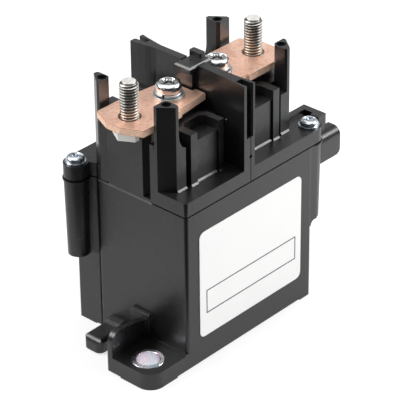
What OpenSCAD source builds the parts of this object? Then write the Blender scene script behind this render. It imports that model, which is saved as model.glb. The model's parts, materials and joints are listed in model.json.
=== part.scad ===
// Sealed DC contactor: plunger relay with two stud terminals and a double-break bridge.
// Origin: centre of the mounting plane, under the standing pads. X runs along the terminal row, -Y is the label side, +Z is up.

/* [Body] */
// length of the case along the terminal row
body_l = 50; // [48:0.5:54]
// depth of the case
body_d = 40; // [39:0.5:44]
// height of the parting line between case and cover
base_h = 46.5; // [46:0.1:47.5]
// wall thickness of the case
wall = 2; // [1.5:0.1:2.2]
// floor thickness of the case
floor_t = 2.2; // [1.6:0.1:2.2]
// corner radius of the case in plan
corner_r = 0.8; // [0.4:0.1:1.5]

/* [Cover] */
// height of the cover skirt
skirt_h = 4; // [3.6:0.1:4.4]
// height of the barrier and the four posts above the case bottom
post_z = 75; // [73:0.1:77]
// thickness of the barrier at its two ends
barrier_t = 4.6; // [4:0.1:5]
// width of the open slot in each end of the barrier
slot_w = 1.9; // [1.4:0.1:2]
// height of the walls around the front and back bays
bay_z = 65.3; // [64:0.1:66]
// height of the bay floors
bay_floor_z = 62.5; // [61.5:0.1:63.5]
// diameter of the blind holes in the posts
post_hole_d = 2.6; // [1.5:0.1:2.6]

/* [Terminals] */
// distance of each terminal stud from the centre
stud_x = 23.8; // [23:0.1:24.2]
// thread diameter of the terminal studs
stud_d = 5; // [4:0.5:5]
// height of the stud ends above the case bottom
stud_top = 78.5; // [76:0.1:82]
// height of the upper face of the bus bars
bar_top = 68.4; // [68.2:0.1:68.6]
// bus bar thickness
bar_t = 2; // [1.8:0.1:2]
// bus bar width at the stud
bar_w = 16.4; // [15:0.1:17]
// distance of each terminal screw from the centre
screw_x = 9.25; // [9:0.05:9.5]

/* [Feet] */
// length of each foot beyond the case
foot_l = 14; // [13.5:0.05:15]
// foot thickness
foot_t = 4.5; // [3.5:0.1:5]
// height of the standing pads below the case bottom
pad_t = 0.4; // [0.2:0.1:0.6]
// bush position along the terminal row
bush_x = 33; // [32.5:0.1:33.5]
// bush position across the case
bush_y = 13.2; // [12.5:0.1:13.5]
// bore of the foot bushes
bush_bore = 6.2; // [5.5:0.1:6.6]
// outer diameter of the foot bushes
bush_d = 9; // [8.5:0.1:9.5]

/* [Label] */
// label width
label_w = 40.6; // [30:0.1:44]
// label height
label_h = 32.1; // [20:0.1:33]
// label thickness
label_t = 0.2; // [0.1:0.05:0.4]

/* [Mechanism] */
// full stroke of the moving core
stroke = 2; // [1.5:0.1:2.1]
// open gap between the contact tips
tip_gap = 1.55; // [1.55:0.05:1.7]
// shaft diameter
shaft_d = 3; // [2.5:0.1:3]
// wire diameter of the return spring
return_wire = 0.6; // [0.4:0.05:0.7]
// wire diameter of the contact spring
contact_wire = 0.7; // [0.5:0.05:0.8]

/* [Hidden] */
$fn = 48;
eps = 0.1;
hx = body_l / 2;
hy = body_d / 2;
ledge_z = base_h + skirt_h;
bar_z = bar_top - bar_t;
boss_x = 27.5;
boss_y = hy - 3.4;
boss_r = 3.35;
strip = 0.4;
strip_y = 11.3;
foot_x = hx + foot_l;
core_top = 29.5;
moving_z = core_top - 0.3 - stroke;
bridge_z = 52;
tip_z = bridge_z + 1.8;
plastic = [0.16, 0.16, 0.17];
copper = [0.86, 0.62, 0.48];
steel = [0.72, 0.73, 0.75];
silver = [0.85, 0.85, 0.83];
iron = [0.55, 0.56, 0.58];

// box between two corners
module bx(x0, x1, y0, y1, z0, z1) {
    translate([x0, y0, z0]) cube([x1 - x0, y1 - y0, z1 - z0]);
}

// rectangle with rounded corners
module rrect(x0, x1, y0, y1, r) {
    translate([x0 + r, y0]) square([x1 - x0 - 2 * r, y1 - y0]);
    translate([x0, y0 + r]) square([x1 - x0, y1 - y0 - 2 * r]);
    for (x = [x0 + r, x1 - r]) for (y = [y0 + r, y1 - r]) translate([x, y]) circle(r);
}

module rbx(x0, x1, y0, y1, z0, z1, r) {
    translate([0, 0, z0]) linear_extrude(z1 - z0) rrect(x0, x1, y0, y1, r);
}

// the piece and its half-turn copy
module pair() {
    children();
    rotate(180) children();
}

// profile drawn in XZ, extruded from y0 to y1
module xz(y0, y1) {
    translate([0, y1, 0]) rotate([90, 0, 0]) linear_extrude(y1 - y0) children();
}

// round bar between two points
module bar3(p, q, r) {
    d = q - p;
    l = norm(d);
    translate(p) rotate([0, acos(d[2] / l), atan2(d[1], d[0])]) cylinder(r = r, h = l, $fn = 24);
}

// coil spring of mean radius r: a round wire led along a helix
module coil(r, wire, h, turns) {
    n = 16;
    m = 8;
    steps = turns * n;
    rise = (h - wire) / steps;
    points = [for (i = [0 : steps]) for (j = [0 : m - 1])
        let (a = 360 * i / n, b = 360 * j / m, q = r + wire / 2 * cos(b))
        [q * cos(a), q * sin(a), wire / 2 + i * rise + wire / 2 * sin(b)]];
    faces = concat(
        [[for (j = [m - 1 : -1 : 0]) j]],
        [[for (j = [0 : m - 1]) steps * m + j]],
        [for (i = [0 : steps - 1]) for (j = [0 : m - 1]) [i * m + j, i * m + (j + 1) % m, (i + 1) * m + j]],
        [for (i = [0 : steps - 1]) for (j = [0 : m - 1]) [i * m + (j + 1) % m, (i + 1) * m + (j + 1) % m, (i + 1) * m + j]]);
    polyhedron(points, faces);
}

// cross recess of a screw head, narrowing towards its bottom
module cross(z, w, l, depth) intersection() {
    union() {
        bx(-l, l, -w / 2, w / 2, z - depth, z + 1);
        bx(-w / 2, w / 2, -l, l, z - depth, z + 1);
    }
    translate([0, 0, z - depth]) cylinder(r1 = w * 0.7, r2 = w * 0.7 + (l / 2 - w * 0.7) * (depth + 1) / depth, h = depth + 1);
}

// profile of a pan screw head with a large edge radius
module pan_plan(r, h, c) {
    square([r - c, h]);
    square([r, h - c]);
    intersection() {
        translate([r - c, h - c]) circle(c);
        square([r + 1, h + 1]);
    }
}

// lifts the drawing so that the pads stand on the mounting plane
module lifted() translate([0, 0, pad_t]) children();

// ---- case ----

module foot_plan() {
    r = 4.3;
    translate([-foot_x + r, -hy]) square([foot_l - r + 1, hy - 4.3]);
    translate([-foot_x, -hy + r]) square([foot_l + 1, hy - 4.3 - r]);
    translate([-foot_x + r, -hy + r]) circle(r);
}

module foot() {
    difference() {
        union() {
            linear_extrude(foot_t) foot_plan();
            translate([0, 0, -pad_t]) linear_extrude(1) intersection() {
                foot_plan();
                translate([-foot_x - 1, -hy - 1]) square([foot_x - 28, hy - 7.8]);
            }
            xz(-6, -4.3) union() {
                polygon([[-foot_x, 0], [-hx + 1, 0], [-hx + 1, 9.8], [-30, 11.2], [-foot_x + 3.4, 11.9], [-foot_x, 8.6]]);
                translate([-foot_x + 3.3, 8.6]) circle(3.3);
            }
            xz(-7.2, -0.8) polygon([[-hx - 1.2, 0], [-hx + 1, 0], [-hx + 1, 12.1], [-hx - 0.8, 12.1], [-hx - 1.2, 11.7]]);
            bx(-hx - 0.95, -hx + 1, -hy, -5, foot_t - 1, foot_t + 0.45);
        }
        translate([-bush_x, -bush_y, -2]) cylinder(d = bush_d, h = foot_t + 3);
    }
}

module tongue() {
    // rounded in plan, at the outer end and along both upper edges
    intersection() {
        rbx(-35.3, -hx + 3, 2.2, 8.6, 0, 4.15, 1.8);
        xz(2, 9) union() {
            translate([-35.3, -1]) square([15, 3.15]);
            translate([-33.3, -1]) square([15, 5.15]);
            translate([-33.3, 2.15]) circle(2);
        }
        translate([-36, 0, 0]) rotate([90, 0, 90]) linear_extrude(20) union() {
            translate([2.2, -1]) square([6.4, 3.75]);
            translate([3.6, -1]) square([3.6, 5.15]);
            for (y = [3.6, 7.2]) translate([y, 2.75]) circle(1.4);
        }
    }
    // soft rise at its root
    xz(3.1, 7.9) polygon(concat([[-hx + 1, 2], [-hx - 3.6, 2]],
        [for (t = [0 : 0.1 : 1]) [-hx - 3.6 + 3.2 * t, 4 + 1.15 * (3 * t * t - 2 * t * t * t)]],
        [[-hx + 1, 5.15]]));
}

// slanted web between the edge strip and a boss, seen from above
module fairing_plan() {
    polygon([[-hx + strip, strip_y + 0.6], [-hx - 0.55, boss_y - 2.6], [-boss_x + 0.5, boss_y], [-hx + 1, boss_y], [-hx + 1, strip_y + 0.6]]);
}

module boss() {
    z = 22.9;
    translate([-boss_x, boss_y, z]) cylinder(r1 = boss_r - 0.35, r2 = boss_r, h = base_h - 0.5 - z);
    translate([-boss_x, boss_y, base_h - 0.8]) cylinder(r = boss_r + 0.3, h = 0.4);
    bx(-boss_x, -hx + 1, boss_y - 1.3, hy - 0.06, z, base_h - 0.4);
    translate([0, 0, z]) linear_extrude(base_h - 0.4 - z) fairing_plan();
    xz(boss_y - 1.3, hy - 0.06) difference() {
        translate([-hx - 1.4, z - 1.4]) square([2.4, 1.5]);
        translate([-hx - 1.4 + strip - 0.4, z - 1.4]) circle(1.4);
    }
}

// socket of the coil connector, open to the outside, and the guard beside it
module socket() {
    bx(hx - 1, 34.5, -16.7, -9, 36.5, 51.3);
    translate([hx - 1, 0, 0]) rotate([90, 0, 90]) linear_extrude(38.7 - hx + 1) union() {
        translate([-18.5, 38]) square([4.3, 5.6]);
        translate([-16.1, 38]) square([1.9, 8]);
        translate([-16.1, 43.6]) circle(2.4);
    }
}

module base_case() color(plastic) difference() {
    union() {
        difference() {
            union() {
                rbx(-hx, hx, -hy, hy, 0, base_h - 0.4, corner_r);
                // standing pads: a middle panel and two corners; the feet carry the others
                bx(-16, 16, -12, 12, -pad_t, 1);
                pair() translate([0, 0, -pad_t]) linear_extrude(1) intersection() {
                    rrect(-hx, hx, -hy, hy, corner_r);
                    translate([20.6, -hy - 1]) square([10, 7]);
                }
            }
            // set-back strip beside each boss, with a groove along its edge
            pair() bx(-hx - 1, -hx + strip, strip_y - 0.2, hy + 1, -1, base_h + 1);
            pair() bx(-hx - 1, -hx + 1.1, strip_y - 0.2, strip_y + 0.55, -1, base_h + 1);
        }
        pair() foot();
        pair() boss();
        tongue();
        difference() {
            socket();
            translate([boss_x, -boss_y, base_h - 0.4]) cylinder(r = 3.7, h = 10);
            bx(hx - 2, 31.3, -hy, -10.9, base_h - 0.4, 60);
            bx(hx - 2, hx + 0.3, -hy, -5, base_h - 0.4, 60);
        }
    }
    // inside of the case
    bx(-hx + wall, hx - wall, -hy + wall, hy - wall, floor_t, base_h + 10);
    // socket pocket, its latch window and the two pin passages
    bx(27.2, 36, -13.9, -10.2, 37.5, 45);
    bx(31.1, 32.4, -13.9, -10.9, 44, 60);
    for (z = [39, 41.2]) bx(hx - wall - 1, 28, -12.6, -11.4, z - 0.6, z + 0.6);
    // pilot holes for the cover screws
    pair() translate([-boss_x, boss_y, base_h - 14]) cylinder(d = 3, h = 20);
    // tapered and rounded outer end of the guard
    translate([38.7, -19, 36]) xz(-1, 8) difference() {
        translate([-1.6, 0]) square([3, 3.6]);
        translate([-1.6, 3.6]) circle(1.6);
    }
}

// ---- cover ----

module post_plan() {
    polygon([[-hx, -9.5], [-hx, -10.4], [-22, -14.3], [-21, -14.3], [-20.6, -13.7], [-20.6, -10.3], [-21.4, -9.5]]);
}

module post_low_plan() {
    polygon([[-hx, -9], [-hx, -10.4], [-22, -14.3], [-18.5, -14.3], [-18.5, -9]]);
}

// curved foot of a post on the lower block beside it
module post_fillet() {
    xz(-14.3, -10.3) polygon(concat([[-21.5, 61.8], [-21.5, 67.1]],
        [for (t = [0 : 10 : 90]) [-18.5 - 2.5 * cos(t), 67.1 - 4.75 * sin(t)]], [[-18.5, 61.8]]));
}

// chamfer strip along the foot of a wall that faces the label side
module bead(x0, x1, y) {
    translate([x0, y, ledge_z]) rotate([90, 0, 90]) linear_extrude(x1 - x0) polygon([[0.3, -0.3], [-0.45, -0.3], [-0.45, 0], [0, 0.45], [0.3, 0.45]]);
}

// bay wall seen from above: a U open to the outside, with clipped inner corners
module bay_plan() {
    difference() {
        polygon([[-17.2, -14.9], [-4.7, -14.9], [-4.7, -9.4], [-6.6, -7.2], [-15.2, -7.2], [-17.2, -9.4]]);
        polygon([[-14.8, -16], [-6.6, -16], [-6.6, -10.3], [-7.7, -9.1], [-13.6, -9.1], [-14.8, -10.3]]);
    }
}

// barrier seen from above: a thin wall that widens towards its slotted ends
module barrier_plan(right) {
    t = barrier_t / 2;
    if (right)
        polygon([[0, -hy], [0, hy], [-t + 0.75, hy], [-1.2, 17], [-1.05, 13.5], [-1.05, 10], [-1.2, 6], [-1.3, 3],
            [-1, -3], [-1, -11.8], [-1.2, -13.5], [-1.5, -15.3], [-1.95, -17.8], [-t - 0.1, -hy]]);
    else
        polygon([[0, -hy], [0, hy], [-t - 0.1, hy], [-2.15, 17.5], [-1.8, 15.3], [-1.4, 13.5], [-1.15, 12], [-1.15, 9.5],
            [-1.25, 6], [-1.35, 3], [-1.35, -3], [-1.4, -6], [-1.65, -12], [-2.05, -16.2], [-2.25, -18], [-t - 0.25, -hy]]);
}

module cover_half(right = false) {
    difference() {
        union() {
            // skirt with its ledge
            translate([0, 0, base_h]) linear_extrude(skirt_h) difference() {
                union() {
                    translate([-hx + corner_r, -hy]) square([hx - corner_r, body_d]);
                    translate([-hx, -hy + corner_r]) square([hx, body_d - 2 * corner_r]);
                    for (s = [-1, 1]) translate([-hx + corner_r, s * (hy - corner_r)]) circle(corner_r);
                }
                translate([-hx - 1, strip_y - 0.2]) square([1 + strip, 20]);
                translate([-hx - 1, strip_y - 0.2]) square([2.1, 0.75]);
            }
            // closed part of the parting line on the end face
            bx(-hx + 0.3, -hx + wall - 0.3, -7.8, 7.4, base_h - 0.4, base_h + 0.5);
            // locating rim inside the case
            bx(-hx + wall + 0.2, 0, -hy + wall + 0.2, hy - wall - 0.2, base_h - 2, base_h + 1);
            // screw lug
            translate([-boss_x, boss_y, base_h]) cylinder(r = boss_r, h = skirt_h);
            bx(-boss_x, -hx + 1, boss_y - 1.4, hy, base_h, ledge_z);
            translate([0, 0, base_h]) linear_extrude(skirt_h) fairing_plan();
            // middle housing
            bx(-hx + 0.3, 0, -9.3, 9.3, ledge_z - 1, 63.6);
            // side pillars of the housing, flush with the posts
            bx(-hx, -20, -9.3, -7.8, ledge_z - 1, 63.6);
            bx(-hx, -20, 7.4, 9.3, ledge_z - 1, 63.6);
            // posts and bays on both long sides
            for (m = [0, 1]) mirror([0, m, 0]) {
                translate([0, 0, ledge_z - 1]) linear_extrude(post_z - ledge_z + 1) post_plan();
                translate([0, 0, ledge_z - 1]) linear_extrude(62.35 - ledge_z + 1) post_low_plan();
                translate([0, 0, ledge_z - 1]) linear_extrude(bay_z - ledge_z + 1) bay_plan();
                bx(-15.5, -6, -14.3, -8.5, ledge_z - 1, bay_floor_z);
                if (m == 0) post_fillet();
                bead(-21.8, -18.5, -14.3);
                bead(-17.2, -14.8, -14.9);
                bead(-14.8, -6.6, -14.3);
                bead(-6.6, -4.7, -14.9);
                // seats of the bus bar beside the stud head
                bx(-hx + 0.3, -16.5, -7.6, -4.1, 62, bar_z);
            }
            // seat of the bus bar between stud head and contact
            bx(-18.8, -16.2, -7.6, 7.6, 62, bar_z);
            translate([-screw_x, 0, 62]) cylinder(d = 14, h = bar_z - 62);
            // barrier and the column at its middle
            translate([0, 0, ledge_z - 1]) linear_extrude(post_z - ledge_z + 1) barrier_plan(right);
            bx(-2.6, 0, -2.1, 2.1, 62, 73.3);
            if (!right) translate([-1.78, -13.3, 62.9]) sphere(0.55, $fn = 24);
        }
        // inside
        bx(-21.6, eps, -hy + 3.5, hy - 3.5, base_h - 3, ledge_z - 1.6);
        bx(-21, eps, -7.7, 7.7, base_h - 3, 62.2);
        bx(-14.2, -7.2, -12.4, 12.4, base_h - 3, 61);
        // opening around the fixed contact
        translate([-screw_x, 0, 55]) cylinder(d = 11.8, h = 20);
        // stud head pocket
        bx(-hx - 1, -18.8, -4.1, 4.1, 63, 70);
        // end faces set back a little from the case and the posts
        translate([0, 0, base_h - 1]) linear_extrude(64 - base_h) polygon([[-hx - 1, -7.8], [-hx + 0.3, -7.8], [-hx + 0.3, 7.4], [-hx, 9.8], [-hx - 1, 9.8]]);
        // groove beside the front post
        translate([0, 0, base_h + 0.5]) linear_extrude(69.5 - base_h) polygon([[-hx - 1, -7.8], [-22.8, -7.8], [-22.8, -6.4], [-23.8, -5.5], [-hx + 0.3, -4.9], [-hx - 1, -4.9]]);
        // slots in the ends of the barrier
        bx(-slot_w / 2 - (right ? 0.25 : 0.65), eps, -hy - 1, -hy + 3.8, 59.6, 80);
        bx(-slot_w / 2 + 0.45, eps, hy - 3.8, hy + 1, 59.6, 80);
        translate([0, 0, 59.6]) linear_extrude(30) polygon([[0, hy + 1], [0, hy - 0.9], [-slot_w / 2 + 0.45, hy - 0.45], [-slot_w / 2, hy + 0.05], [-slot_w / 2, hy + 1]]);
        // joint line of the two cover halves on the long sides
        for (s = [-1, 1]) translate([0, s * hy, 0]) bx(-0.13, eps, -0.5, 0.5, base_h - 1, 61);
        // clip dimples below the slots
        for (s = [-1, 1]) translate([0, s * hy, 53.9]) rotate([90, 0, 0]) cylinder(r = 0.55, h = 0.8, center = true, $fn = 24);
        // seat of the centre plate
        bx(-6, eps, -2.9, 2.9, 73.3, 80);
        // blind holes in the posts
        for (s = [-1, 1]) translate([-22.15, s * 11.2, post_z - 1]) cylinder(d = post_hole_d, h = 8, $fn = 32);
        // screw hole in the lug
        translate([-boss_x, boss_y, base_h - 1]) cylinder(d = 3.3, h = skirt_h + 2);
    }
}

module cover_left() color(plastic) cover_half();

module cover_right() color(plastic) union() {
    rotate(180) cover_half(true);
    // chamfered plate on the middle of the barrier, with a raised root
    intersection() {
        xz(-2.8, 2.8) polygon([[-4.15, 73.3], [4.15, 73.3], [4.15, post_z - 0.45], [3.7, post_z], [-3.7, post_z], [-4.15, post_z - 0.45]]);
        translate([-5, 0, 0]) rotate([90, 0, 90]) linear_extrude(10) polygon([[-2.8, 73.3], [2.8, 73.3], [2.8, post_z - 0.45], [2.35, post_z], [-2.35, post_z], [-2.8, post_z - 0.45]]);
    }
    rbx(2, 4, -0.9, 3.2, 73.3, post_z + 1.3, 0.4);
    // plate over the inner part of the connector socket
    bx(hx - 1, 30.9, -13.6, -11, 48.6, ledge_z);
    bx(hx - 1, boss_x, -14.6, -11, base_h, ledge_z);
}

module cover_screws() color(steel) pair() translate([-boss_x, boss_y, ledge_z]) difference() {
    rotate_extrude() union() {
        polygon([[0, -12], [0.6, -12], [1.4, -10.5], [1.4, 0.2], [0, 0.2]]);
        square([2.85, 0.45]);
        pan_plan(2.5, 1.95, 1.2);
    }
    cross(1.95, 0.7, 2.7, 1.1);
}

module label() color([0.95, 0.95, 0.95]) xz(-hy - label_t, -hy) rrect(-label_w / 2 + 0.1, label_w / 2 + 0.1, 7.5, 7.5 + label_h, 1.8);

module foot_bushes() color(steel) pair() translate([-bush_x, -bush_y, -pad_t]) difference() {
    cylinder(d = bush_d, h = foot_t + pad_t + 0.2);
    translate([0, 0, -1]) cylinder(d = bush_bore, h = foot_t + 3);
}

// ---- terminals ----

module busbar_left() color(copper) translate([0, 0, bar_z]) linear_extrude(bar_t) difference() {
    w = bar_w / 2;
    polygon([[-30, -2.4], [-27.4, -w], [-13, -w], [-13, -w + 0.7], [-1.9, -6.2], [-1.9, -2.6], [-3.1, -2.6], [-3.1, 2.6], [-1.9, 2.6], [-1.9, 6.2], [-13, w - 0.7], [-13, w], [-27.4, w], [-30, 2.4]]);
    translate([-stud_x, 0]) circle(d = 5.8);
    translate([-screw_x, 0]) circle(d = 4.5);
}

module busbar_right() color(copper) rotate(180) translate([0, 0, bar_z]) linear_extrude(bar_t) difference() {
    w = bar_w / 2;
    polygon([[-30, -2.4], [-27.4, -w], [-13, -w], [-13, -w + 0.7], [-1.9, -6.2], [-1.9, -2.6], [-3.1, -2.6], [-3.1, 2.6], [-1.9, 2.6], [-1.9, 6.2], [-13, w - 0.7], [-13, w], [-27.4, w], [-30, 2.4]]);
    translate([-stud_x, 0]) circle(d = 5.8);
    translate([-screw_x, 0]) circle(d = 4.5);
}

module stud_bolts() color(steel) pair() translate([-stud_x, 0, 0]) {
    translate([0, 0, bar_z - 3.3]) cylinder(d = 8 / cos(30), h = 3.3, $fn = 6);
    translate([0, 0, bar_z - 1]) cylinder(d = stud_d - 0.7, h = bar_t + 2);
    translate([0, 0, bar_top + 0.3]) cylinder(d = stud_d, h = stud_top - 1 - bar_top);
    translate([0, 0, stud_top - 0.7]) cylinder(d1 = stud_d, d2 = stud_d - 1.4, h = 0.7);
}

module terminal_screws() color(steel) pair() translate([-screw_x, 0, bar_top + 1.8]) difference() {
    rotate_extrude() union() {
        polygon([[0, -10], [1.4, -10], [1.95, -9.4], [1.95, 0.2], [0, 0.2]]);
        pan_plan(3.4, 2.4, 1.3);
    }
    cross(2.4, 0.9, 4, 1.5);
}

module spring_washers() color(steel) pair() translate([-screw_x, 0, bar_top + 0.8]) difference() {
    cylinder(d = 7.2, h = 1);
    translate([0, 0, -1]) cylinder(d = 4.3, h = 3);
    rotate(200) bx(1, 5, -0.3, 0.3, -1, 2);
}

module flat_washers() color(steel) pair() translate([-screw_x, 0, bar_top]) difference() {
    cylinder(d = 8.2, h = 0.8);
    translate([0, 0, -1]) cylinder(d = 4.3, h = 3);
}

module connector_pins() color(silver) for (z = [39, 41.2]) bx(20.5, 33.2, -12.32, -11.68, z - 0.32, z + 0.32);

// ---- contact chamber ----

module fixed_contacts() color(copper) pair() translate([-screw_x, 0, 0]) difference() {
    union() {
        translate([0, 0, tip_z + tip_gap + 0.6]) cylinder(r = 3.6, h = 62 - tip_z - tip_gap - 0.6);
        translate([0, 0, 62]) cylinder(r = 5.4, h = 0.9);
        translate([0, 0, 62.9]) cylinder(r = 4.6, h = bar_z - 62.9);
    }
    translate([0, 0, 59.4]) cylinder(r = 2, h = 10);
}

module fixed_tips() color(silver) pair() translate([-screw_x, 0, tip_z + tip_gap]) cylinder(r = 3.2, h = 0.6);

module arc_chamber() color([0.93, 0.92, 0.88]) difference() {
    rbx(-16.5, 16.5, -7.4, 7.4, 47.6, 62, 2.5);
    rbx(-14.7, 14.7, -5.6, 5.6, 47, 59.6, 1.5);
    pair() translate([-screw_x, 0, 50]) cylinder(r = 3.9, h = 20);
}

module joint_flange() color(iron) difference() {
    rbx(-17.4, 17.4, -8.6, 8.6, base_h - 1, 47.6, 3);
    rbx(-14.7, 14.7, -5.6, 5.6, 40, 50, 1.5);
}

module arc_magnets() color([0.32, 0.32, 0.34]) for (x = [-10.7, 10.7]) for (s = [-1, 1]) {
    bx(x - 3.2, x + 3.2, s * 9.8 - 1.8, s * 9.8 + 1.8, 50, 60.5);
}

// ---- moving system ----

module contact_bridge() color(copper) translate([0, 0, bridge_z]) linear_extrude(1.4) difference() {
    rrect(-12.6, 12.6, -3.2, 3.2, 1.5);
    circle(d = shaft_d + 0.8);
}

module bridge_tips() color(silver) pair() translate([-screw_x, 0, bridge_z + 1.4]) cylinder(r = 2.8, h = 0.4);

module contact_spring() color(steel) translate([0, 0, 47.9]) coil(2.9, contact_wire, bridge_z - 47.9, 3);

module shaft() color(steel) union() {
    translate([0, 0, 12]) cylinder(d = shaft_d, h = 55 - 12);
    translate([0, 0, 47.1]) cylinder(d = 8, h = 0.8);
}

module shaft_clip() color(steel) translate([0, 0, bridge_z + 1.4]) difference() {
    cylinder(d = 6, h = 0.6);
    translate([0, 0, -1]) cylinder(d = shaft_d, h = 3);
    bx(0, 5, -1, 1, -1, 2);
}

// ---- magnet system ----

module fixed_core() color(iron) difference() {
    union() {
        translate([0, 0, core_top]) cylinder(r = 5.6, h = base_h - 1 - core_top);
        translate([0, 0, base_h - 1]) cylinder(r = 5.2, h = 0.6);
    }
    translate([0, 0, 20]) cylinder(d = shaft_d + 0.8, h = 40);
}

module moving_core() color(iron) difference() {
    translate([0, 0, 10.5]) cylinder(r = 5.5, h = moving_z - 10.5);
    translate([0, 0, 0]) cylinder(d = shaft_d, h = 40);
    translate([0, 0, moving_z - 5]) cylinder(r = 3.4, h = 10);
}

module return_spring() color(steel) translate([0, 0, moving_z - 5]) coil(2.55, return_wire, core_top - moving_z + 5, 6);

module core_bumper() color([0.1, 0.1, 0.1]) translate([0, 0, 8.5]) cylinder(r = 5, h = 2);

module plunger_cap() color(silver) difference() {
    union() {
        translate([0, 0, 8]) cylinder(r = 6.3, h = 35);
        translate([0, 0, 42.5]) cylinder(r = 8.4, h = 0.5);
    }
    translate([0, 0, 8.5]) cylinder(r = 5.9, h = 40);
}

module yoke_plate() color(iron) difference() {
    bx(-18, 18, -13, 13, 43, base_h - 1);
    translate([0, 0, 40]) cylinder(r = 5.6, h = 10);
}

module yoke() color(iron) union() {
    bx(-18, 18, -10.6, 10.6, 3.5, 6);
    bx(-18, -15.5, -10.6, 10.6, 3.5, 43);
    bx(15.5, 18, -10.6, 10.6, 3.5, 43);
}

module coil_bobbin() color([0.85, 0.82, 0.72]) rotate_extrude() polygon([[6.6, 6], [14, 6], [14, 7.4], [7.5, 7.4], [7.5, 41], [14, 41], [14, 42.4], [6.6, 42.4]]);

module coil_winding() color([0.62, 0.3, 0.16]) rotate_extrude() polygon([[7.55, 7.45], [13.3, 7.45], [13.3, 40.95], [7.55, 40.95]]);

// the two leads pass beside the yoke to the connector pins
module coil_leads() color([0.7, 0.15, 0.12]) for (z = [[40.5, 41.2], [39, 39]])
    bar3([8.62, -10.59, z[0]], [20.45, -12, z[1]], 0.35);

module damper_pad() color([0.1, 0.1, 0.1]) rbx(-10, 10, -10, 10, floor_t, 3.5, 2);

lifted() base_case();
lifted() cover_left();
lifted() cover_right();
lifted() cover_screws();
lifted() label();
lifted() foot_bushes();
lifted() busbar_left();
lifted() busbar_right();
lifted() stud_bolts();
lifted() terminal_screws();
lifted() spring_washers();
lifted() flat_washers();
lifted() connector_pins();
lifted() fixed_contacts();
lifted() fixed_tips();
lifted() arc_chamber();
lifted() joint_flange();
lifted() arc_magnets();
lifted() contact_bridge();
lifted() bridge_tips();
lifted() contact_spring();
lifted() shaft();
lifted() shaft_clip();
lifted() fixed_core();
lifted() moving_core();
lifted() return_spring();
lifted() core_bumper();
lifted() plunger_cap();
lifted() yoke_plate();
lifted() yoke();
lifted() coil_bobbin();
lifted() coil_winding();
lifted() coil_leads();
lifted() damper_pad();
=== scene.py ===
import json
import math

import bmesh
import bpy
from mathutils import Matrix, Vector

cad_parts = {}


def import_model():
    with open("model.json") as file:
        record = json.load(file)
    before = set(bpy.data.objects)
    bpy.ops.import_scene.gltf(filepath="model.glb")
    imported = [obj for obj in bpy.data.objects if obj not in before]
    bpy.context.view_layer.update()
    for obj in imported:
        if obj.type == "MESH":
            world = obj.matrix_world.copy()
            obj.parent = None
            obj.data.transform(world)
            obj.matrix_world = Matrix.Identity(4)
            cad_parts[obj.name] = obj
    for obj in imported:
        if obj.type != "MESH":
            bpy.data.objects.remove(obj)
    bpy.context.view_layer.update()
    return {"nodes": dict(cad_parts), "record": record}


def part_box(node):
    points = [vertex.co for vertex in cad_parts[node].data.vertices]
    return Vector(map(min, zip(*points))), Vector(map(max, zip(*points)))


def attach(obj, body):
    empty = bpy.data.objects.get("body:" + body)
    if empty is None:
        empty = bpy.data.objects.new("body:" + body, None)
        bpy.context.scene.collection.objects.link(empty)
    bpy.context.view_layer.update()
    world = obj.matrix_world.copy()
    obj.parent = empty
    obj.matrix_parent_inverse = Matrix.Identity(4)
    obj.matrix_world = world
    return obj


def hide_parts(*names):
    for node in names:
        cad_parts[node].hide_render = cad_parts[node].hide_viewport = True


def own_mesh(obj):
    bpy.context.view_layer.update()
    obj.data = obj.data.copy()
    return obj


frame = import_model()
nodes = frame["nodes"]
MM = 0.001
LIFT = 0.4  # height of the standing pads; heights below are from the case bottom
scene = bpy.context.scene


# ---------------------------------------------------------------- materials

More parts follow.
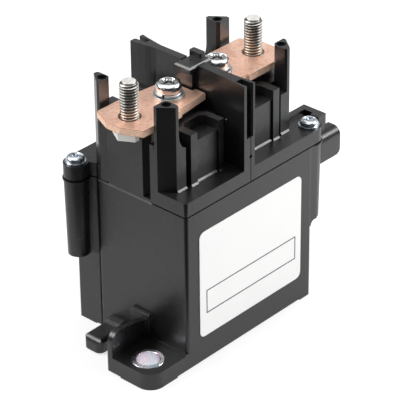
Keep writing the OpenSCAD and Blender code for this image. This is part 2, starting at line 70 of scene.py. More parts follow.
class Mat:
    """A Principled material with a few shorthands for procedural nodes in object space."""

    def __init__(self, name):
        self.m = bpy.data.materials.new(name)
        self.m.use_nodes = True
        self.t = self.m.node_tree
        self.t.nodes.clear()
        self.out = self.t.nodes.new("ShaderNodeOutputMaterial")
        self.b = self.t.nodes.new("ShaderNodeBsdfPrincipled")
        self.t.links.new(self.b.outputs[0], self.out.inputs[0])
        self.co = self.t.nodes.new("ShaderNodeTexCoord").outputs["Object"]

    def put(self, socket, value):
        if isinstance(value, bpy.types.NodeSocket):
            self.t.links.new(value, socket)
        elif isinstance(value, (tuple, list)) and len(value) == 3 and socket.type == "RGBA":
            socket.default_value = (*value, 1.0)
        else:
            socket.default_value = value

    def set(self, **values):
        for key, value in values.items():
            self.put(self.b.inputs[key.replace("_", " ")], value)
        return self

    def stretch(self, sx, sy, sz):
        n = self.t.nodes.new("ShaderNodeMapping")
        self.put(n.inputs["Vector"], self.co)
        n.inputs["Scale"].default_value = (sx, sy, sz)
        return n.outputs[0]

    def noise(self, scale, detail=2.0, rough=0.5, vector=None, distort=0.0):
        n = self.t.nodes.new("ShaderNodeTexNoise")
        self.put(n.inputs["Vector"], vector or self.co)
        n.inputs["Scale"].default_value = scale
        n.inputs["Detail"].default_value = detail
        n.inputs["Roughness"].default_value = rough
        n.inputs["Distortion"].default_value = distort
        return n.outputs["Fac"]

    def wave(self, scale, direction="Z", distort=0.0, vector=None):
        n = self.t.nodes.new("ShaderNodeTexWave")
        n.bands_direction = direction
        self.put(n.inputs["Vector"], vector or self.co)
        n.inputs["Scale"].default_value = scale
        n.inputs["Distortion"].default_value = distort
        return n.outputs["Fac"]

    def span(self, value, a0, a1, b0, b1):
        n = self.t.nodes.new("ShaderNodeMapRange")
        self.put(n.inputs[0], value)
        for i, x in enumerate((a0, a1, b0, b1)):
            n.inputs[i + 1].default_value = x
        return n.outputs[0]

    def math(self, op, a, b):
        n = self.t.nodes.new("ShaderNodeMath")
        n.operation = op
        self.put(n.inputs[0], a)
        self.put(n.inputs[1], b)
        return n.outputs[0]

    def mix(self, fac, a, b):
        n = self.t.nodes.new("ShaderNodeMix")
        n.data_type = "RGBA"
        self.put(n.inputs[0], fac)
        self.put(n.inputs[6], a)
        self.put(n.inputs[7], b)
        return n.outputs[2]

    def ramp(self, fac, stops):
        n = self.t.nodes.new("ShaderNodeValToRGB")
        self.put(n.inputs[0], fac)
        e = n.color_ramp.elements
        while len(e) < len(stops):
            e.new(0.5)
        for el, (p, c) in zip(e, stops):
            el.position = p
            el.color = (*c, 1.0)
        return n.outputs[0]

    def edge(self, radius, low=0.985, high=0.8):
        """1 along convex and concave edges, 0 on flat faces."""
        bev = self.t.nodes.new("ShaderNodeBevel")
        bev.samples = 4
        bev.inputs["Radius"].default_value = radius
        geo = self.t.nodes.new("ShaderNodeNewGeometry")
        dot = self.t.nodes.new("ShaderNodeVectorMath")
        dot.operation = "DOT_PRODUCT"
        self.t.links.new(bev.outputs[0], dot.inputs[0])
        self.t.links.new(geo.outputs["Normal"], dot.inputs[1])
        return self.span(dot.outputs["Value"], low, high, 0.0, 1.0)

    def upright(self, radius):
        """Shading normal with the upright corners rounded to a larger radius; other edges keep theirs."""
        bev = self.t.nodes.new("ShaderNodeBevel")
        bev.samples = 8
        bev.inputs["Radius"].default_value = radius
        geo = self.t.nodes.new("ShaderNodeNewGeometry")
        sep = self.t.nodes.new("ShaderNodeSeparateXYZ")
        self.t.links.new(bev.outputs[0], sep.inputs[0])
        n = self.t.nodes.new("ShaderNodeMix")
        n.data_type = "VECTOR"
        self.put(n.inputs[0], self.span(self.math("ABSOLUTE", sep.outputs["Z"], 0.0), 0.04, 0.12, 1.0, 0.0))
        self.t.links.new(geo.outputs["Normal"], n.inputs[4])
        self.t.links.new(bev.outputs[0], n.inputs[5])
        return n.outputs[1]

    def bump(self, height, distance, strength=1.0, normal=None):
        n = self.t.nodes.new("ShaderNodeBump")
        n.inputs["Strength"].default_value = strength
        n.inputs["Distance"].default_value = distance
        self.put(n.inputs["Height"], height)
        if normal is not None:
            self.t.links.new(normal, n.inputs["Normal"])
        return n.outputs[0]


def tint(c, k):
    return tuple(min(1.0, x * k) for x in c)


def plastic(name, base, rough=0.44, grain=0.35, worn=0.3, line=None, corner=0.0, dull=None):
    """Satin moulded thermoplastic: spark-eroded grain, flow mottling and slightly burnished edges."""
    m = Mat(name)
    flow = m.noise(90, 3, 0.55, m.stretch(1.0, 1.0, 0.6), 0.6)
    mottle = m.noise(700, 3, 0.6)
    grain_n = m.noise(5200, 3, 0.65)
    colour = m.mix(m.span(flow, 0.3, 0.7, 0.0, 1.0), tint(base, 0.82), tint(base, 1.2))
    colour = m.mix(m.span(grain_n, 0.55, 0.8, 0.0, 0.35), colour, tint(base, 1.9))
    dust = m.span(m.noise(2100, 2, 0.5), 0.72, 0.76, 0.0, 0.6)
    colour = m.mix(dust, colour, (0.16, 0.16, 0.16))
    wear = m.math("MULTIPLY", m.edge(0.22 * MM), m.span(m.noise(420, 3, 0.6), 0.35, 0.7, 0.1, 1.0))
    colour = m.mix(m.math("MULTIPLY", wear, worn), colour, tint(base, 3.2))
    sep = m.t.nodes.new("ShaderNodeSeparateXYZ")
    m.t.links.new(m.co, sep.inputs[0])
    if line:
        # painted highlight: a pale line along the parting seam on the end face, standing in for light caught by the
        # seam edge: x below, y range, z range
        x, y0, y1, z0, z1 = (k * MM for k in line)
        mask = m.math("MULTIPLY", m.math("LESS_THAN", sep.outputs["X"], x), m.math("GREATER_THAN", sep.outputs["Y"], y0))
        mask = m.math("MULTIPLY", mask, m.math("LESS_THAN", sep.outputs["Y"], y1))
        mask = m.math("MULTIPLY", mask, m.math("GREATER_THAN", sep.outputs["Z"], z0))
        mask = m.math("MULTIPLY", mask, m.math("LESS_THAN", sep.outputs["Z"], z1))
        colour = m.mix(m.math("MULTIPLY", mask, m.span(flow, 0.3, 0.7, 0.6, 1.0)), colour, (0.10, 0.10, 0.10))
    r = m.span(mottle, 0.25, 0.75, rough - 0.05, rough + 0.07)
    r = m.math("SUBTRACT", r, m.math("MULTIPLY", wear, 0.06))
    if dull:
        # matt top of the low plate over the tongue: x below, y range, z from
        x, y0, y1, z0, z1 = (k * MM for k in dull)
        mask = m.math("MULTIPLY", m.math("LESS_THAN", sep.outputs["X"], x), m.math("GREATER_THAN", sep.outputs["Y"], y0))
        mask = m.math("MULTIPLY", mask, m.math("LESS_THAN", sep.outputs["Y"], y1))
        mask = m.math("MULTIPLY", mask, m.math("GREATER_THAN", sep.outputs["Z"], z0))
        mask = m.math("MULTIPLY", mask, m.math("LESS_THAN", sep.outputs["Z"], z1))
        r = m.math("ADD", r, m.math("MULTIPLY", mask, 0.4))
    n1 = m.bump(flow, 0.12 * MM, 0.05, m.upright(corner * MM) if corner else None)
    n2 = m.bump(grain_n, 0.03 * MM, grain, n1)
    m.set(Base_Color=colour, Roughness=r, Normal=n2)
    return m.m


def metal(name, base, rough=(0.16, 0.3), spots=None, bump=0.12, streak=None, worn=0.35):
    """Bare or plated metal with small-scale handling marks."""
    m = Mat(name)
    cloud = m.noise(260, 4, 0.6, None, 0.4)
    fine = m.noise(4200, 3, 0.6)
    line = m.noise(1.0, 3, 0.6, m.stretch(*streak)) if streak else fine
    colour = m.mix(m.span(cloud, 0.3, 0.75, 0.0, 1.0), tint(base, 1.06), tint(base, 0.86))
    if spots:
        colour = m.mix(m.span(m.noise(520, 4, 0.65), 0.56, 0.72, 0.0, 0.55), colour, spots)
    colour = m.mix(m.math("MULTIPLY", m.edge(0.15 * MM), worn), colour, tint(base, 1.25))
    r = m.span(m.math("ADD", m.math("MULTIPLY", line, 0.6), m.math("MULTIPLY", cloud, 0.4)), 0.3, 0.7, *rough)
    n = m.bump(line, 0.02 * MM, bump)
    m.set(Base_Color=colour, Roughness=r, Normal=n, Metallic=1.0)
    return m.m


def turned_steel(name, axis_x, deep, shallow, below, reach, base=(0.80, 0.80, 0.78)):
    """Plated screw metal, darker in thread roots (by radius) and in the drive recess (by height): painted shade there,
    together with grime.
    """
    m = Mat(name)
    sep = m.t.nodes.new("ShaderNodeSeparateXYZ")
    m.t.links.new(m.co, sep.inputs[0])
    dx = m.math("SUBTRACT", m.math("ABSOLUTE", sep.outputs["X"], 0.0), axis_x * MM)
    r2 = m.math("ADD", m.math("MULTIPLY", dx, dx), m.math("MULTIPLY", sep.outputs["Y"], sep.outputs["Y"]))
    r = m.math("SQRT", r2, 0.0)
    cloud = m.noise(260, 4, 0.6, None, 0.4)
    fine = m.noise(4200, 3, 0.6)
    if deep:
        side = m.span(sep.outputs["Z"], (below - 0.02) * MM, below * MM, 1.0, 0.0)
        grime_and_painted_shade = m.math("MULTIPLY", side, m.span(r, deep * MM, shallow * MM, 1.0, 0.0))
    else:
        low = m.span(sep.outputs["Z"], below * MM, (below - 0.5) * MM, 0.0, 1.0)
        grime_and_painted_shade = m.math("MULTIPLY", low, m.span(r, reach * MM, (reach + 0.25) * MM, 1.0, 0.0))
    colour = m.mix(m.span(cloud, 0.3, 0.75, 0.0, 1.0), tint(base, 1.05), tint(base, 0.84))
    colour = m.mix(m.span(m.noise(520, 4, 0.65), 0.56, 0.72, 0.0, 0.45), colour, (0.62, 0.60, 0.54))
    if deep:
        sawn = m.math("MULTIPLY", m.math("SUBTRACT", 1.0, side), m.span(m.noise(1.0, 3, 0.6, m.stretch(500, 3200, 500)), 0.3, 0.7, 0.45, 0.8))
        colour = m.mix(sawn, colour, (0.74, 0.73, 0.70))
    # painted shade with some grime: near black in the thread roots and the drive recess
    colour = m.mix(m.math("MULTIPLY", grime_and_painted_shade, 0.93), colour, (0.045, 0.040, 0.033))
    rough = m.math("ADD", m.span(fine, 0.3, 0.7, 0.13, 0.26), m.math("MULTIPLY", grime_and_painted_shade, 0.25))
    shine = 1.0
    if deep:
        # the hexagon head under the bar is dull white zinc
        head = m.span(sep.outputs["Z"], 66.82 * MM, 66.9 * MM, 1.0, 0.0)
        colour = m.mix(m.math("MULTIPLY", head, m.span(cloud, 0.3, 0.7, 0.75, 1.0)), colour, (0.80, 0.80, 0.79))
        rough = m.math("ADD", rough, m.math("MULTIPLY", head, 0.25))
        shine = m.math("SUBTRACT", m.span(head, 0.0, 1.0, 1.0, 0.12), m.math("MULTIPLY", sawn, 0.8))
    m.set(Base_Color=colour, Roughness=rough, Normal=m.bump(fine, 0.02 * MM, 0.1), Metallic=shine)
    return m.m


def copper_bar():
    """Rolled and stamped copper: rolling lines along X, faint oxide clouds, bright sheared edges."""
    m = Mat("bar_copper_look")
    roll = m.noise(1.0, 4, 0.6, m.stretch(70, 2600, 2600))
    cloud = m.noise(170, 4, 0.6, None, 0.8)
    spot = m.noise(900, 3, 0.6)
    colour = m.mix(m.span(cloud, 0.36, 0.64, 0.0, 1.0), (0.93, 0.65, 0.52), (0.82, 0.51, 0.385))
    colour = m.mix(m.span(spot, 0.54, 0.72, 0.0, 0.6), colour, (0.54, 0.27, 0.17))
    # painted reflection: the rolled edges and the rounded edge faces are coloured dark brown, standing in for the dark
    # surroundings they mirror; the same mask also makes them rougher
    painted_dark_rim = m.math("MULTIPLY", m.edge(0.34 * MM), m.span(m.noise(620, 3, 0.6), 0.36, 0.62, 0.4, 1.0))
    geo = m.t.nodes.new("ShaderNodeNewGeometry")
    up = m.t.nodes.new("ShaderNodeSeparateXYZ")
    m.t.links.new(geo.outputs["Normal"], up.inputs[0])
    tilt = m.math("ABSOLUTE", up.outputs["Z"], 0.0)
    round_edge = m.math("MULTIPLY", m.span(tilt, 0.9, 0.97, 1.0, 0.0), m.span(tilt, 0.15, 0.35, 0.0, 1.0))
    painted_dark_rim = m.math("MAXIMUM", painted_dark_rim, m.math("MULTIPLY", round_edge, 0.9))
    colour = m.mix(painted_dark_rim, colour, (0.30, 0.14, 0.08))
    sheared = m.span(tilt, 0.3, 0.6, 1.0, 0.0)
    grit = m.noise(1.0, 3, 0.6, m.stretch(2300, 2300, 900))
    colour = m.mix(m.math("MULTIPLY", sheared, 0.7), colour, (0.88, 0.62, 0.47))
    colour = m.mix(m.math("MULTIPLY", sheared, m.span(grit, 0.45, 0.65, 0.0, 0.4)), colour, (0.50, 0.25, 0.15))
    r = m.span(m.math("ADD", m.math("MULTIPLY", roll, 0.55), m.math("MULTIPLY", cloud, 0.45)), 0.3, 0.7, 0.44, 0.58)
    r = m.math("ADD", r, m.math("MULTIPLY", painted_dark_rim, 0.3))
    n = m.bump(roll, 0.02 * MM, 0.22)
    n = m.bump(spot, 0.02 * MM, 0.12, n)
    n = m.bump(m.math("MULTIPLY", grit, sheared), 0.04 * MM, 0.5, n)
    r = m.math("ADD", r, m.math("MULTIPLY", sheared, 0.15))
    m.set(Base_Color=colour, Roughness=r, Normal=n, Metallic=m.span(sheared, 0.0, 1.0, 1.0, 0.35))
    return m.m


def bush_metal():
    """Passivated zinc plating: pale blue, pink and straw clouds."""
    m = Mat("bush_steel_look")
    film = m.noise(330, 2, 0.5, None, 1.2)
    colour = m.ramp(film, [(0.3, (0.62, 0.74, 0.84)), (0.45, (0.80, 0.82, 0.86)), (0.58, (0.84, 0.70, 0.80)), (0.72, (0.82, 0.79, 0.66))])
    fine = m.noise(3600, 3, 0.6)
    colour = m.mix(m.math("MULTIPLY", m.edge(0.2 * MM), 0.5), colour, (0.92, 0.92, 0.92))
    m.set(Base_Color=colour, Roughness=m.span(fine, 0.3, 0.7, 0.16, 0.32), Normal=m.bump(fine, 0.015 * MM, 0.1), Metallic=1.0)
    return m.m


def film_label():
    """Matte white printed film with a faint fibre texture and slightly grey edges."""
    m = Mat("label_white_look")
    fibre = m.noise(1.0, 4, 0.6, m.stretch(1800, 1800, 500))
    cloud = m.noise(110, 3, 0.5)
    colour = m.mix(m.span(cloud, 0.3, 0.7, 0.0, 1.0), (0.80, 0.80, 0.793), (0.785, 0.785, 0.78))
    colour = m.mix(m.math("MULTIPLY", m.edge(0.12 * MM), 0.4), colour, (0.62, 0.62, 0.62))
    m.set(Base_Color=colour, Roughness=m.span(fibre, 0.3, 0.7, 0.42, 0.55), Normal=m.bump(fibre, 0.012 * MM, 0.15))
    return m.m


def ink():
    m = Mat("label_ink_look")
    n = m.noise(2400, 3, 0.6)
    m.set(Base_Color=m.mix(m.span(n, 0.35, 0.75, 0.0, 1.0), (0.035, 0.035, 0.04), (0.12, 0.12, 0.125)), Roughness=m.span(n, 0.3, 0.7, 0.4, 0.6), Normal=m.bump(n, 0.008 * MM, 0.2))
    return m.m


def ceramic():
    m = Mat("chamber_ceramic_look")
    n = m.noise(1500, 4, 0.6)
    c = m.mix(m.span(m.noise(160, 3), 0.3, 0.7, 0.0, 1.0), (0.86, 0.85, 0.80), (0.78, 0.77, 0.72))
    c = m.mix(m.span(n, 0.64, 0.78, 0.0, 0.4), c, (0.55, 0.53, 0.47))
    m.set(Base_Color=c, Roughness=m.span(n, 0.3, 0.7, 0.45, 0.62), Normal=m.bump(n, 0.02 * MM, 0.25))
    return m.m


def ferrite():
    m = Mat("magnet_ferrite_look")
    g = m.noise(1.0, 3, 0.6, m.stretch(300, 300, 3600))
    s = m.noise(1400, 3, 0.6)
    c = m.mix(m.span(s, 0.4, 0.7, 0.0, 1.0), (0.09, 0.09, 0.095), (0.15, 0.15, 0.155))
    c = m.mix(m.math("MULTIPLY", m.edge(0.3 * MM), 0.5), c, (0.3, 0.3, 0.3))
    m.set(Base_Color=c, Roughness=m.span(g, 0.3, 0.7, 0.35, 0.55), Normal=m.bump(g, 0.02 * MM, 0.25), Metallic=0.3)
    return m.m


def rubber():
    m = Mat("bumper_rubber_look")
    n = m.noise(2600, 4, 0.65)
    c = m.mix(m.span(m.noise(240, 3), 0.3, 0.7, 0.0, 1.0), (0.016, 0.016, 0.016), (0.035, 0.034, 0.033))
    m.set(Base_Color=c, Roughness=m.span(n, 0.3, 0.7, 0.62, 0.82), Normal=m.bump(n, 0.03 * MM, 0.3))
    return m.m


def enamel_wire():
    m = Mat("winding_copper_look")
    n = m.noise(900, 3, 0.6)
    c = m.mix(m.span(n, 0.3, 0.7, 0.0, 1.0), (0.50, 0.19, 0.07), (0.62, 0.28, 0.12))
    m.set(Base_Color=c, Roughness=m.span(n, 0.3, 0.7, 0.22, 0.38), Normal=m.bump(n, 0.01 * MM, 0.1), Metallic=0.75)
    m.b.inputs["Coat Weight"].default_value = 0.4
    return m.m


def lead_wire():
    m = Mat("lead_red_look")
    n = m.noise(1900, 3, 0.6)
    c = m.mix(m.span(n, 0.3, 0.7, 0.0, 1.0), (0.42, 0.03, 0.02), (0.55, 0.07, 0.05))
    m.set(Base_Color=c, Roughness=m.span(n, 0.3, 0.7, 0.4, 0.55), Normal=m.bump(n, 0.01 * MM, 0.2))
    return m.m


CASE = (0.0072, 0.0072, 0.0076)
COVER = (0.0076, 0.0076, 0.0082)
LOOK = {
    "case_plastic": plastic("case_plastic_look", CASE, 0.31, 0.18, 0.3, (-24.5, -8.2, 11.1, 46.25, 46.7), 0.7, (-25.05, -7.4, -0.6, 11.95, 12.6)),
    "cover_plastic": plastic("cover_plastic_look", COVER, 0.31, 0.18, 0.35, (-24.5, -8.2, 11.1, 46.4, 46.75)),
    "label_white": film_label(),
    "plated_steel": metal("plated_steel_look", (0.82, 0.82, 0.80), (0.14, 0.27), (0.62, 0.60, 0.54)),
    "washer_steel": metal("washer_steel_look", (0.47, 0.53, 0.56), (0.32, 0.48), (0.34, 0.37, 0.38)),
    "zinc_steel": metal("zinc_steel_look", (0.66, 0.72, 0.79), (0.16, 0.32), (0.80, 0.82, 0.84)),
    "bush_steel": bush_metal(),
    "bar_copper": copper_bar(),
    "contact_copper": metal("contact_copper_look", (0.76, 0.43, 0.29), (0.25, 0.42), (0.52, 0.26, 0.17)),
    "tip_silver": metal("tip_silver_look", (0.83, 0.82, 0.79), (0.3, 0.48), (0.6, 0.58, 0.54)),
    "pin_tin": metal("pin_tin_look", (0.78, 0.78, 0.76), (0.2, 0.36), (0.6, 0.6, 0.58)),
    "chamber_ceramic": ceramic(),
    "flange_metal": metal("flange_metal_look", (0.60, 0.60, 0.57), (0.28, 0.45), (0.44, 0.42, 0.38)),
    "magnet_ferrite": ferrite(),
    "soft_iron": metal("soft_iron_look", (0.58, 0.58, 0.57), (0.28, 0.46), (0.42, 0.41, 0.39), 0.2),
    "spring_steel": metal("spring_steel_look", (0.52, 0.52, 0.53), (0.2, 0.36), (0.4, 0.38, 0.35)),
    "cap_steel": metal("cap_steel_look", (0.72, 0.72, 0.70), (0.18, 0.34), None, 0.15, (1500, 1500, 60)),
    "bumper_rubber": rubber(),
    "bobbin_plastic": plastic("bobbin_plastic_look", (0.56, 0.50, 0.36), 0.5, 0.3, 0.1),
    "winding_copper": enamel_wire(),
    "lead_red": lead_wire(),
}
INK = ink()
STUD = turned_steel("stud_steel_look", 23.8, 2.17, 2.42, 78.88, 0, (0.95, 0.93, 0.87))
SCREW = turned_steel("screw_steel_look", 9.25, 0, 0, 72.7, 2.0, (0.72, 0.735, 0.745))
OWN = {"terminal_screws": SCREW, "flat_washers": LOOK["washer_steel"]}
SLOT = {s["node"]: s["material_slot"] for s in frame["record"]["subparts"]}

for name, obj in nodes.items():
    for s in obj.material_slots:
        s.material = OWN.get(name) or LOOK[SLOT[name]]


# ---------------------------------------------------------------- small real edge radii on the solids

EDGE = {
    "base_case": 0.22, "cover_left": 0.2, "cover_right": 0.2, "label": 0.06, "foot_bushes": 0.3,
    "busbar_left": 0.22, "busbar_right": 0.22, "terminal_screws": 0.12, "cover_screws": 0.1,
    "flat_washers": 0.12, "connector_pins": 0.08, "fixed_contacts": 0.15, "fixed_tips": 0.12,
    "arc_chamber": 0.2, "joint_flange": 0.15, "arc_magnets": 0.25, "contact_bridge": 0.25,
    "bridge_tips": 0.1, "shaft": 0.15, "shaft_clip": 0.08, "fixed_core": 0.2, "moving_core": 0.25,
    "core_bumper": 0.3, "plunger_cap": 0.1, "yoke_plate": 0.2, "yoke": 0.25, "coil_bobbin": 0.2,
    "coil_leads": 0.05, "damper_pad": 0.25,
}
for name, width in EDGE.items():
    o = nodes[name]
    w = o.modifiers.new("weld", "WELD")
    w.merge_threshold = 1e-6
    d = o.modifiers.new("flats", "DECIMATE")
    d.decimate_type = "DISSOLVE"
    d.angle_limit = math.radians(0.4)
    b = o.modifiers.new("edge_radius", "BEVEL")
    b.width = width * MM
    b.segments = 3
    b.limit_method = "ANGLE"
    b.angle_limit = math.radians(32)
    b.use_clamp_overlap = True
    b.miter_outer = "MITER_ARC"
    b.harden_normals = False
    n = o.modifiers.new("normals", "WEIGHTED_NORMAL")
    n.keep_sharp = True
    n.weight = 60


# ---------------------------------------------------------------- modelled pieces

def piece(name, verts, faces, slot, body, smooth=35, mat=None):
    me = bpy.data.meshes.new(name)
    me.from_pydata([tuple(v) for v in verts], [], faces)
    bm = bmesh.new()
    bm.from_mesh(me)
    bmesh.ops.remove_doubles(bm, verts=bm.verts, dist=2e-6)
    bmesh.ops.dissolve_degenerate(bm, dist=1e-6, edges=bm.edges)
    bmesh.ops.recalc_face_normals(bm, faces=bm.faces)
    bm.to_mesh(me)
    bm.free()
    me.polygons.foreach_set("use_smooth", [True] * len(me.polygons))
    me.set_sharp_from_angle(angle=math.radians(smooth))
    me.materials.append(mat or LOOK[slot])
    o = bpy.data.objects.new(name, me)
    scene.collection.objects.link(o)
    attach(o, body)
    return o


def lathe(profile, segs, cx=0.0, cy=0.0, base=0):
    """Vertices and faces of a turned profile [(r, z)] about a vertical axis."""
    verts, faces = [], []
    for r, z in profile:
        for i in range(segs):
            a = 2 * math.pi * i / segs
            verts.append((cx + r * math.cos(a), cy + r * math.sin(a), z))
    for k in range(len(profile) - 1):
        for i in range(segs):
            j = (i + 1) % segs
            faces.append((base + k * segs + i, base + k * segs + j, base + (k + 1) * segs + j, base + (k + 1) * segs + i))
    return verts, faces


def stud(cx, base):
    """M5 stud with a rolled thread and a chamfered hexagon head under the bar."""
    verts, faces = [], []
    n, p = 40, 0.8
    z_lo, z_hi = 66.3, 78.5
    steps = [(0.0, 2.48), (0.07, 2.48), (0.36, 2.05), (0.5, 2.02), (0.64, 2.05), (0.93, 2.48)]
    rows = len(steps)
    first, last = -2, int((z_hi - z_lo) / p) + 2
    for j in range(first, last + 1):
        for u, r in steps:
            for i in range(n):
                z = z_lo + (j + u + i / n) * p
                z = min(max(z, z_lo), z_hi)
                q = min(r, 1.8 + (z_hi - z) * 0.95)
                a = 2 * math.pi * i / n
                verts.append((cx + q * math.cos(a), q * math.sin(a), z))
    total = (last - first + 1) * rows
    for k in range(total - 1):
        for i in range(n):
            if i < n - 1:
                q = (k * n + i, k * n + i + 1, (k + 1) * n + i + 1, (k + 1) * n + i)
            elif k + 1 + rows < total:
                q = (k * n + i, (k + rows) * n, (k + 1 + rows) * n, (k + 1) * n + i)
            else:
                continue
            faces.append(tuple(base + x for x in q))
    top = base + len(verts)
    v, f = lathe([(1.8, z_hi), (1.5, z_hi + 0.0), (0.0001, z_hi)], n, cx, 0.0, top)
    verts += v
    faces += f
    # head
    segs, af, z_t, z_b = 72, 4.0, 66.4, 63.1
    head = base + len(verts)

    rings = []
    for kind in ("hole", "rim_t", "top", "bottom", "rim_b", "mid"):
        ring = []
        for i in range(segs):
            a = 2 * math.pi * i / segs
            r = af / math.cos((a % (math.pi / 3)) - math.pi / 6)
            if kind == "hole":
                ring.append((2.0, z_t))
            elif kind == "rim_t":
                ring.append((min(r, 3.95), z_t))
            elif kind == "top":
                ring.append((r, z_t - 0.04 - max(0.0, r - 4.0) * 0.35))
            elif kind == "bottom":
                ring.append((r, z_b + 0.06))
            elif kind == "rim_b":
                ring.append((r - 0.06, z_b))
            else:
                ring.append((0.0001, z_b))
        rings.append(ring)
    for ring in rings:
        for i, (r, z) in enumerate(ring):
            a = 2 * math.pi * i / segs
            verts.append((cx + r * math.cos(a), r * math.sin(a), z))
    for k in range(len(rings) - 1):
        for i in range(segs):
            j = (i + 1) % segs
            faces.append((head + k * segs + i, head + k * segs + j, head + (k + 1) * segs + j, head + (k + 1) * segs + i))
    return verts, faces


def scaled(verts):
    return [(x * MM, y * MM, (z + LIFT) * MM) for x, y, z in verts]


va, fa = stud(-23.8, 0)
vb, fb = stud(23.8, len(va))
studs = piece("studs_threaded", scaled(va + vb), fa + fb, "plated_steel", "housing", 40, STUD)
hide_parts("stud_bolts")


def split_washer(cx, gap, base):
    """Split spring washer: a flat wire wound into just under one turn, ends lifted apart."""
    verts, faces = [], []
    n = 56
    ro, ri, t, lift, c = 3.6, 2.15, 0.74, 0.24, 0.1
    sec = [(ri, c), (ri + c, 0), (ro - c, 0), (ro, c), (ro, t - c), (ro - c, t), (ri + c, t), (ri, t - c)]
    for k in range(n + 1):
        a = math.radians(gap + 5 + 350 * k / n)
        for r, z in sec:
            verts.append((cx + r * math.cos(a), r * math.sin(a), 69.21 + z + lift * k / n))
    m = len(sec)
    for k in range(n):
        for i in range(m):
            j = (i + 1) % m
            faces.append((base + k * m + i, base + k * m + j, base + (k + 1) * m + j, base + (k + 1) * m + i))
    faces.append(tuple(base + i for i in range(m)))
    faces.append(tuple(base + n * m + i for i in reversed(range(m))))
    return verts, faces


va, fa = split_washer(-9.25, 200, 0)
vb, fb = split_washer(9.25, 20, len(va))
washers = piece("washers_split", scaled(va + vb), fa + fb, "plated_steel", "housing", 30, LOOK["washer_steel"])
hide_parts("spring_washers")


def helix(r, wire, z0, z1, turns, base=0):
    """Round-wire compression spring with closed, ground end coils."""
    verts, faces = [], []
    n, m = 36, 12
    dead = 0.75
    total = turns + 2 * dead
    steps = int(total * n)
    lo, hi = z0 + wire / 2, z1 - wire / 2
    flat = wire * 0.62 * dead
    for k in range(steps + 1):
        t = k / n
        if t < dead:
            z = lo + flat * t / dead * 0.5
        elif t > total - dead:
            z = hi - flat * (total - t) / dead * 0.5
        else:
            z = lo + flat * 0.5 + (hi - lo - flat) * (t - dead) / turns
        a = 2 * math.pi * t
        for i in range(m):
            b = 2 * math.pi * i / m
            q = r + wire / 2 * math.cos(b)
            zz = min(max(z + wire / 2 * math.sin(b), z0), z1)
            verts.append((q * math.cos(a), q * math.sin(a), zz))
    for k in range(steps):
        for i in range(m):
            j = (i + 1) % m
            faces.append((base + k * m + i, base + k * m + j, base + (k + 1) * m + j, base + (k + 1) * m + i))
    faces.append(tuple(base + i for i in range(m)))
    faces.append(tuple(base + steps * m + i for i in reversed(range(m))))
    return verts, faces


lo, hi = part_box("return_spring")
v, f = helix(2.55, 0.6, lo.z / MM - LIFT, hi.z / MM - LIFT, 4.5)
ret = piece("spring_return", scaled(v), f, "spring_steel", "housing", 40)
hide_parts("return_spring")
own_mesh(ret)

lo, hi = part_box("contact_spring")
v, f = helix(2.9, 0.7, lo.z / MM - LIFT, hi.z / MM - LIFT, 2.0)
con = piece("spring_contact", scaled(v), f, "spring_steel", "armature", 40)
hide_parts("contact_spring")
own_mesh(con)


def winding():
    """Layer-wound coil: the outer layer shows as ridges of enamelled wire."""
    lo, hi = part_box("coil_winding")
    z0, z1, ro, ri = lo.z / MM - LIFT + 0.02, hi.z / MM - LIFT - 0.02, hi.x / MM, 7.57
    count = 48
    p = (z1 - z0) / count
    prof = [(ri, z0)]
    for k in range(count):
        for u in (0.04, 0.22, 0.5, 0.78, 0.96):
            d = abs(u - 0.5) * 2
            prof.append((ro - p * 0.5 * (1 - math.sqrt(max(0.0, 1 - d * d))), z0 + (k + u) * p))
    prof += [(ri, z1), (ri, z0)]
    return lathe(prof, 72)


v, f = winding()
coil = piece("winding_wire", scaled(v), f, "winding_copper", "housing", 60)
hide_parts("coil_winding")


def ring_frame(x0, x1, z0, z1, w, y0, y1):
    """Thin rectangular outline standing on the label face."""
    verts, faces = [], []
    for y in (y0, y1):
        for d in (0, w):
            verts += [(x0 + d, y, z0 + d), (x1 - d, y, z0 + d), (x1 - d, y, z1 - d), (x0 + d, y, z1 - d)]
    for i in range(4):
        j = (i + 1) % 4
        faces += [(i, j, 4 + j, 4 + i), (8 + i, 12 + i, 12 + j, 8 + j), (i, 8 + i, 8 + j, j), (4 + i, 4 + j, 12 + j, 12 + i)]
    return verts, faces


v, f = ring_frame(-17.75, 18.15, 14.3, 21.5, 0.36, -20.215, -20.19)
box_line = piece("label_frame", scaled(v), f, "label_white", "housing", 30, INK)


# ---------------------------------------------------------------- stage

def sheet(name, corners, z, mat):
    me = bpy.data.meshes.new(name)
    me.from_pydata([(x, y, 0) for x, y in corners], [], [tuple(range(len(corners)))])
    me.materials.append(mat)
    o = bpy.data.objects.new(name, me)
    o.location.z = z
    scene.collection.objects.link(o)
    return o


def floor():
    """Pale sweep that glows with painted light, brighter on the right and darker on the left."""
    m = Mat("floor_pale")
    n = m.noise(6, 3)
    side = m.t.nodes.new("ShaderNodeVectorMath")
    side.operation = "DOT_PRODUCT"
    side.inputs[1].default_value = (0.70, -0.71, 0.0)
    m.t.links.new(m.co, side.inputs[0])
    # painted light: the floor's own glow, darker towards the left and brighter towards the right
    glow = m.ramp(m.span(side.outputs["Value"], -0.2, 0.2, 0.0, 1.0), [(0.0, (0.33, 0.33, 0.33)), (0.27, (0.48, 0.48, 0.48)), (0.33, (0.66, 0.66, 0.66)), (0.56, (0.68, 0.68, 0.68)), (0.75, (1.08, 1.08, 1.08))])
    pale = m.mix(m.span(n, 0.3, 0.7, 0.0, 1.0), (0.30, 0.30, 0.30), (0.32, 0.32, 0.32))
    m.set(Base_Color=pale, Roughness=0.9, Emission_Color=glow)
    m.b.inputs["Specular IOR Level"].default_value = 0.0
    m.b.inputs["Emission Strength"].default_value = 1.0
    s = 1.5
    sheet("floor", [(-s, -s), (s, -s), (s, s), (-s, s)], -0.00002, m.m)


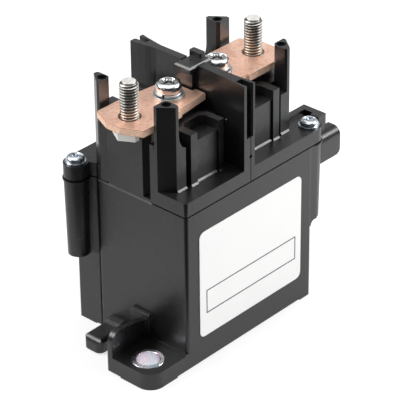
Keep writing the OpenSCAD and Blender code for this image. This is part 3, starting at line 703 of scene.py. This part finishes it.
def dark_card():
    """Dark card on the table in front, as a photographer's flag: only reflections see it."""
    m = Mat("card_dark")
    n = m.noise(40, 3)
    m.set(Base_Color=m.mix(m.span(n, 0.3, 0.7, 0.0, 1.0), (0.035, 0.035, 0.035), (0.045, 0.045, 0.045)), Roughness=0.9)
    m.b.inputs["Specular IOR Level"].default_value = 0.0
    f, r = Vector((-0.60, -0.80)), Vector((0.80, -0.60))
    near, far, half = f * 0.052, f * 1.2, r * 1.2
    o = sheet("card", [tuple(near - half), tuple(near + half), tuple(far + half), tuple(far - half)], 0.0005, m.m)
    o.visible_camera = False
    o.visible_diffuse = False
    o.visible_shadow = False


floor()
dark_card()


def world():
    """White tent with a dark opening around the camera."""
    w = bpy.data.worlds.new("studio")
    scene.world = w
    w.use_nodes = True
    t = w.node_tree
    t.nodes.clear()
    out = t.nodes.new("ShaderNodeOutputWorld")
    bg = t.nodes.new("ShaderNodeBackground")
    t.links.new(bg.outputs[0], out.inputs[0])
    co = t.nodes.new("ShaderNodeTexCoord")
    dot = t.nodes.new("ShaderNodeVectorMath")
    dot.operation = "DOT_PRODUCT"
    az = math.radians(-47.54)
    dot.inputs[1].default_value = (math.sin(az) * 0.94, -math.cos(az) * 0.94, 0.34)
    t.links.new(co.outputs["Generated"], dot.inputs[0])
    mr = t.nodes.new("ShaderNodeMapRange")
    mr.inputs[1].default_value, mr.inputs[2].default_value = -1.0, 1.0
    t.links.new(dot.outputs["Value"], mr.inputs[0])
    sep = t.nodes.new("ShaderNodeSeparateXYZ")
    t.links.new(co.outputs["Generated"], sep.inputs[0])

    def ramp(value, stops):
        r = t.nodes.new("ShaderNodeValToRGB")
        t.links.new(value, r.inputs[0])
        e = r.color_ramp.elements
        while len(e) < len(stops):
            e.new(0.5)
        for el, (pos, v) in zip(e, stops):
            el.position = pos
            el.color = (v, v, v, 1)
        return r.outputs[0]

    round_camera = ramp(mr.outputs[0], [(0.0, 1.75), (0.22, 1.35), (0.45, 1.0), (0.62, 0.9), (0.82, 0.35), (0.95, 0.03)])
    by_height = ramp(sep.outputs["Z"], [(0.0, 0.10), (0.24, 0.12), (0.40, 0.86), (0.66, 0.86), (0.85, 0.45), (1.0, 0.40)])
    both = t.nodes.new("ShaderNodeMix")
    both.data_type = "RGBA"
    both.blend_type = "MULTIPLY"
    both.inputs[0].default_value = 1.0
    t.links.new(round_camera, both.inputs[6])
    t.links.new(by_height, both.inputs[7])
    # darker gap low behind on the right, which the level top faces mirror
    gap = t.nodes.new("ShaderNodeVectorMath")
    gap.operation = "DOT_PRODUCT"
    gap.inputs[1].default_value = (0.634, 0.581, 0.51)
    t.links.new(co.outputs["Generated"], gap.inputs[0])
    less = t.nodes.new("ShaderNodeMix")
    less.data_type = "RGBA"
    less.blend_type = "MULTIPLY"
    less.inputs[0].default_value = 1.0
    t.links.new(both.outputs[2], less.inputs[6])
    t.links.new(ramp(gap.outputs["Value"], [(0.0, 1.0), (0.80, 1.0), (0.93, 0.30), (1.0, 0.22)]), less.inputs[7])
    t.links.new(less.outputs[2], bg.inputs[0])
    bg.inputs[1].default_value = 1.0


world()


def soft(name, at, aim, size, power):
    d = bpy.data.lights.new(name, "AREA")
    d.shape = "RECTANGLE"
    d.size, d.size_y = size
    d.energy = power
    o = bpy.data.objects.new(name, d)
    o.location = at
    o.rotation_mode = "QUATERNION"
    o.rotation_quaternion = (Vector(aim) - Vector(at)).to_track_quat("-Z", "Y")
    scene.collection.objects.link(o)


mid = (0, 0, 0.04)
soft("left", (-0.47, 0.51, 0.60), mid, (0.4, 0.4), 5.5)
soft("right", (0.57, -0.49, 0.56), mid, (0.4, 0.4), 6.2)
soft("behind", (0.50, 0.38, 0.20), mid, (0.35, 0.2), 0.4)
soft("top", (-0.05, 0.0, 0.8), mid, (1.15, 1.15), 5.5)

# ---------------------------------------------------------------- camera

az, el, roll, dist = math.radians(-47.54), math.radians(30.68), math.radians(-0.63), 0.62411
back = Vector((math.sin(az) * math.cos(el), -math.cos(az) * math.cos(el), math.sin(el)))
right = Vector((math.cos(az), math.sin(az), 0))
up = back.cross(right)
r2 = right * math.cos(roll) + up * math.sin(roll)
u2 = up * math.cos(roll) - right * math.sin(roll)
at = Vector((2.23, 0.0, 32.01 + LIFT)) * MM + back * dist
cd = bpy.data.cameras.new("camera")
cd.sensor_width = 36.0
cd.lens = 2324.2 * 36.0 / 400.0
cd.clip_start, cd.clip_end = 0.01, 10.0
cam = bpy.data.objects.new("camera", cd)
cam.matrix_world = Matrix(((r2.x, u2.x, back.x, at.x), (r2.y, u2.y, back.y, at.y), (r2.z, u2.z, back.z, at.z), (0, 0, 0, 1)))
scene.collection.objects.link(cam)
scene.camera = cam

scene.view_settings.view_transform = "Standard"
scene.view_settings.look = "None"

bpy.context.view_layer.update()
